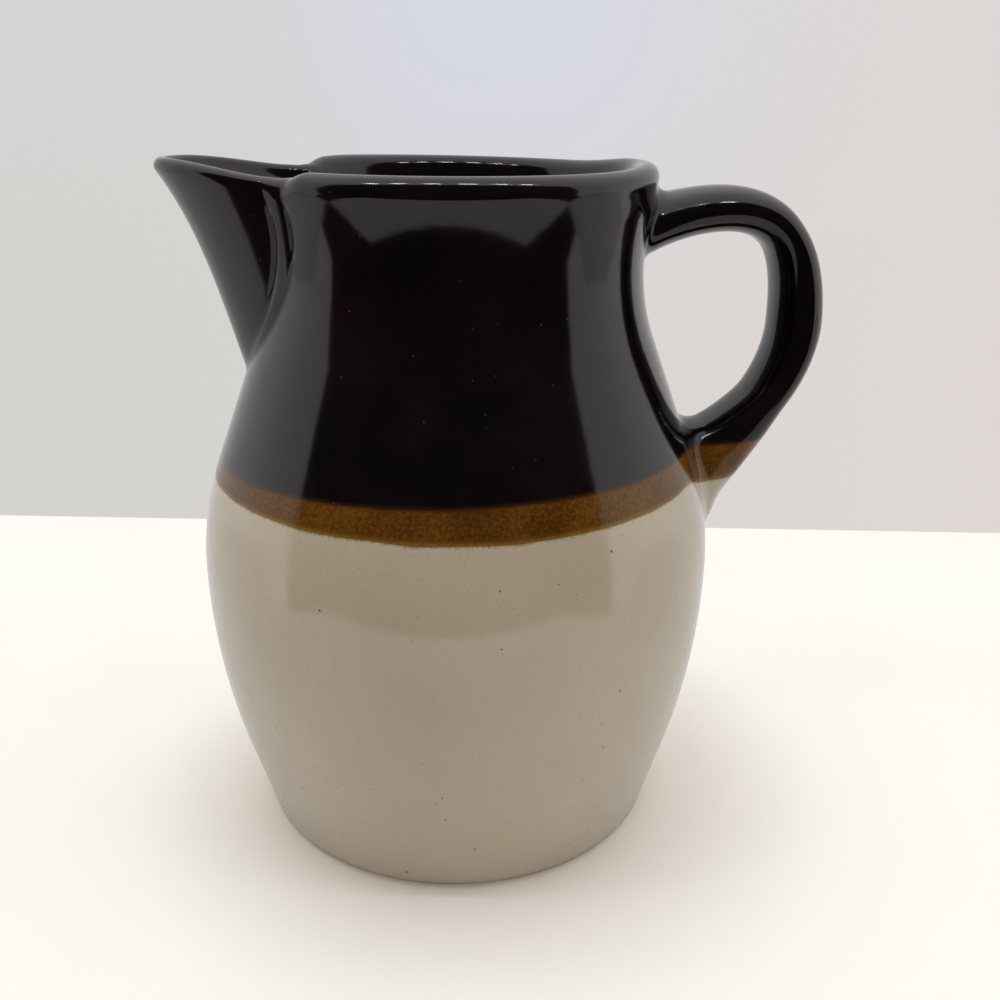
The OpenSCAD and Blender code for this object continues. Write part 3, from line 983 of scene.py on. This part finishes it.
def table_finish(g):
    """Pale, lifted to near white where the camera looks straight at it, less so in a painted shadow by the
    pitcher.
    """
    seen = g.add("ShaderNodeLightPath", output="Is Camera Ray")
    colour = g.blend(g.fade(g.noise(9, 3), 0.3, 0.7), TABLE, TABLE_LIGHT)
    # Round the foot the glow is weaker, which paints a shadow of the pitcher.
    away = g.add("ShaderNodeVectorMath", {"operation": "DISTANCE"}, {0: g.place(), 1: SHADE_MIDDLE},
                 output="Value")
    glow = g.blend(g.fade(away, *SHADE_REACH), SHADE_GLOW, TABLE_GLOW)
    return {"Base Color": colour, "Emission Color": g.blend(seen, (0, 0, 0), glow),
            "Roughness": 0.5 + 0.1 * g.noise(60, 2)}


def make_table():
    """A wide level top with a narrower flap in front."""
    mesh = bpy.data.meshes.new("table")
    points = [(-TABLE_HALF, TABLE_BACK, 0), (-TABLE_HALF, FLAP_BACK, 0), (-FLAP_HALF, FLAP_BACK, 0),
              (-FLAP_HALF, TABLE_FRONT, 0), (FLAP_HALF, TABLE_FRONT, 0), (FLAP_HALF, FLAP_BACK, 0),
              (TABLE_HALF, FLAP_BACK, 0), (TABLE_HALF, TABLE_BACK, 0)]
    mesh.from_pydata(points, [], [(0, 1, 2, 5, 6, 7), (2, 3, 4, 5)])
    mesh.materials.append(finish("table_top", table_finish, **{"Emission Strength": 1.0}))
    table = bpy.data.objects.new("table", mesh)
    table.rotation_euler = (0, 0, BOX_TURN)
    bpy.context.scene.collection.objects.link(table)


make_table()

# The light: pale walls all round, a dim open front that widens toward the ground, a row of small lamps
# overhead and a soft fill from the front that doesn't mirror in the glaze. Pairs say between which shares of
# a direction one light goes over into the next.
OPEN_HALF = 3.2
OPEN_EDGE = 0.04
OPEN_SPLAY = 1.4
OPEN_TOP = 2.1
OPEN_TOP_EDGE = 0.2
FRONT_LOW = (0.034, 0.022, 0.026)
FRONT_HIGH = (0.034, 0.036, 0.046)
FRONT_RISE = (-0.1, 0.7)
SIDE_LIGHT = (0.86, 0.85, 0.84)
RIGHT_LIGHT = (0.93, 0.91, 0.89)
RIGHT_X = (0.1, 0.6)
BACK_LIGHT = (0.68, 0.665, 0.665)
BACK_Y = (0.2, 0.7)
TOP_LIGHT = (1.15, 1.15, 1.17)
TOP_Z = (0.3, 0.9)
LAMPS = 6
LAMP_ROW = 0.42
LAMP_SIZE = (0.042, 0.010)
LAMP_AT = (-0.16, 0.52)
LAMP_TILT = math.radians(16)
LAMP_ENERGY = 0.075
LAMP_COLOUR = (0.93, 0.96, 1.0)
FILL_SIZE = (1.0, 0.6)
FILL_AT = (0, -0.9, 0.2)
FILL_TILT = math.radians(84)
FILL_ENERGY = 1.3
FILL_COLOUR = (1.0, 0.97, 0.92)

# The wall that the camera sees behind the pitcher, bluer high up in the middle.
WALL_LEFT = (0.66, 0.65, 0.625)
WALL_RIGHT = (0.735, 0.685, 0.66)
WALL_X = (-0.45, 0.45)
WALL_TOP = (0.675, 0.69, 0.77)
WALL_TOP_Z = (-0.22, 0.08)
WALL_TOP_MIDDLE = -0.03
WALL_TOP_SIDE = (0.02, 0.3)
WALL_TOP_LEAST = 0.15


def area_lamp(name, size, energy, colour):
    lamp = bpy.data.lights.new(name, "AREA")
    lamp.shape = "RECTANGLE"
    lamp.size, lamp.size_y = size
    lamp.energy = energy
    lamp.color = colour
    made = bpy.data.objects.new(name, lamp)
    bpy.context.scene.collection.objects.link(made)
    return made


def make_light():
    """The room as the world, with its lamps and the fill."""
    world = bpy.data.worlds.new("soft_box")
    bpy.context.scene.world = world
    world.use_nodes = True
    g = Graph(world.node_tree)
    way = g.add("ShaderNodeVectorRotate", {"rotation_type": "Z_AXIS"},
                {"Vector": g.add("ShaderNodeTexCoord", output="Generated"), "Angle": -BOX_TURN})
    x, y, z = [g.along(axis, way) for axis in "XYZ"]
    ahead = y.maths("MAXIMUM", -y, 0.001)
    down = z.maths("MAXIMUM", -z / ahead - 1.0, 0.0)
    across = abs(x / ahead) - OPEN_SPLAY * down
    front = (g.fade(across, OPEN_HALF - OPEN_EDGE, OPEN_HALF + OPEN_EDGE, 1.0, 0.0)
             * g.fade(z / ahead, OPEN_TOP - OPEN_TOP_EDGE, OPEN_TOP + OPEN_TOP_EDGE, 1.0, 0.0) * (y < 0.0))
    walls = g.blend(g.fade(x, *RIGHT_X), SIDE_LIGHT, RIGHT_LIGHT)
    walls = g.blend(g.fade(y, *BACK_Y), walls, BACK_LIGHT)
    walls = g.blend(g.fade(z, *TOP_Z), walls, TOP_LIGHT)
    around = g.blend(front, walls, g.blend(g.fade(z / ahead, *FRONT_RISE), FRONT_LOW, FRONT_HIGH))
    high = g.fade(z, *WALL_TOP_Z) * g.fade(abs(x - WALL_TOP_MIDDLE), *WALL_TOP_SIDE, 1.0, WALL_TOP_LEAST)
    backdrop = g.blend(high, g.blend(g.fade(x, *WALL_X), WALL_LEFT, WALL_RIGHT), WALL_TOP)
    seen = g.add("ShaderNodeLightPath", output="Is Camera Ray")
    sky = g.add("ShaderNodeBackground", inputs={"Color": g.blend(seen, around, backdrop), "Strength": 1.0})
    g.add("ShaderNodeOutputWorld", inputs={"Surface": sky})
    turned = Matrix.Rotation(BOX_TURN, 4, "Z")
    for i in range(LAMPS):
        at = Vector((LAMP_ROW * (i / (LAMPS - 1) - 0.5), *LAMP_AT))
        lamp = area_lamp("lamp_%d" % (i + 1), LAMP_SIZE, LAMP_ENERGY, LAMP_COLOUR)
        lamp.matrix_world = turned @ Matrix.Translation(at) @ Matrix.Rotation(LAMP_TILT, 4, "X")
    fill = area_lamp("fill", FILL_SIZE, FILL_ENERGY, FILL_COLOUR)
    fill.visible_glossy = False
    fill.matrix_world = turned @ Matrix.Translation(FILL_AT) @ Matrix.Rotation(FILL_TILT, 4, "X")


make_light()

# The camera stands where the photograph was taken.
CAMERA_AT = (-0.01996, -0.3264, 0.2166)
CAMERA_PAN = math.radians(5.85)
CAMERA_DOWN = math.radians(19.84)
CAMERA_ROLL = math.radians(-0.36)
LENS = 39.65
SENSOR = 36.0


def make_camera():
    level = math.cos(CAMERA_DOWN)
    ahead = Vector((math.sin(CAMERA_PAN) * level, math.cos(CAMERA_PAN) * level, -math.sin(CAMERA_DOWN)))
    right = Vector((math.cos(CAMERA_PAN), -math.sin(CAMERA_PAN), 0))
    down = ahead.cross(right)
    c, s = math.cos(CAMERA_ROLL), math.sin(CAMERA_ROLL)
    right, down = c * right + s * down, c * down - s * right
    data = bpy.data.cameras.new("camera")
    data.lens = LENS
    data.sensor_width = SENSOR
    data.clip_start = 0.01
    camera = bpy.data.objects.new("camera", data)
    turned = Matrix((right, -down, -ahead)).transposed().to_4x4()
    camera.matrix_world = Matrix.Translation(CAMERA_AT) @ turned
    bpy.context.scene.collection.objects.link(camera)
    bpy.context.scene.camera = camera


make_camera()
bpy.context.scene.view_settings.view_transform = "Standard"
